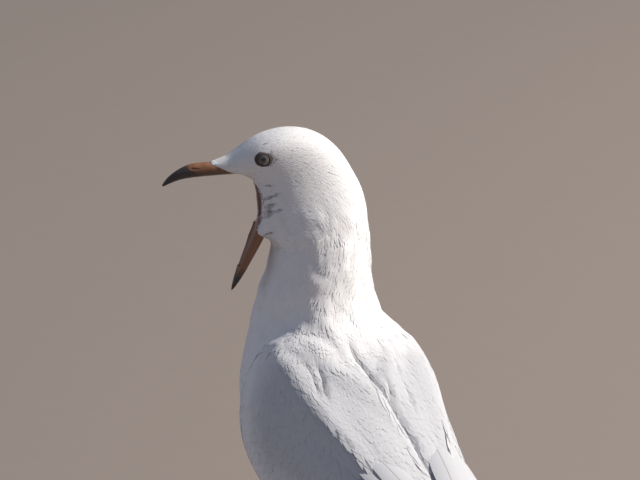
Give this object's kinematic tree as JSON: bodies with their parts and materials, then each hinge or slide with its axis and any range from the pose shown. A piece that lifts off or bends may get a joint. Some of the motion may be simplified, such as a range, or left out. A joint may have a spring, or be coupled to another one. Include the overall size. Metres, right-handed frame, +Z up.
{
  "type": "silver gull",
  "caption": "Standing gull with its neck stretched up, head turned to its left and bill wide open in a yawn; grey folded wings, white body, webbed feet.",
  "frame": {"origin": "on the floor, in the middle of the whole bird's box", "axes": "+Z up; the trunk faces -Y and its left side is +X; the head is turned to the bird's left"},
  "size_m": [0.1418, 0.2896, 0.3353],
  "materials": {
    "plumage_white": "soft white feathers",
    "plumage_grey": "pale grey feathers",
    "quill_black": "black flight feathers",
    "bill_horn": "orange-brown horn with dark tips",
    "tongue_flesh": "moist flesh",
    "eye": "pale iris under a clear wet cornea",
    "leg_skin": "scaled skin",
    "claw_black": "dark horn"
  },
  "bodies": {
    "root": {"trunk": "plumage_white", "neck": "plumage_white", "head": "plumage_white", "tail": "plumage_white", "thigh_left": "plumage_white", "thigh_right": "plumage_white", "wing_left": "plumage_grey", "wing_right": "plumage_grey", "primaries_left": "quill_black", "primaries_right": "quill_black", "bill_upper": "bill_horn", "bill_lower": "bill_horn", "tongue": "tongue_flesh", "eye_left": "eye", "eye_right": "eye", "shank_left": "leg_skin", "shank_right": "leg_skin", "foot_left": "leg_skin", "foot_right": "leg_skin", "claw_left_inner": "claw_black", "claw_left_middle": "claw_black", "claw_left_outer": "claw_black", "claw_left_hind": "claw_black", "claw_right_inner": "claw_black", "claw_right_middle": "claw_black", "claw_right_outer": "claw_black", "claw_right_hind": "claw_black"}
  },
  "joints": []
}
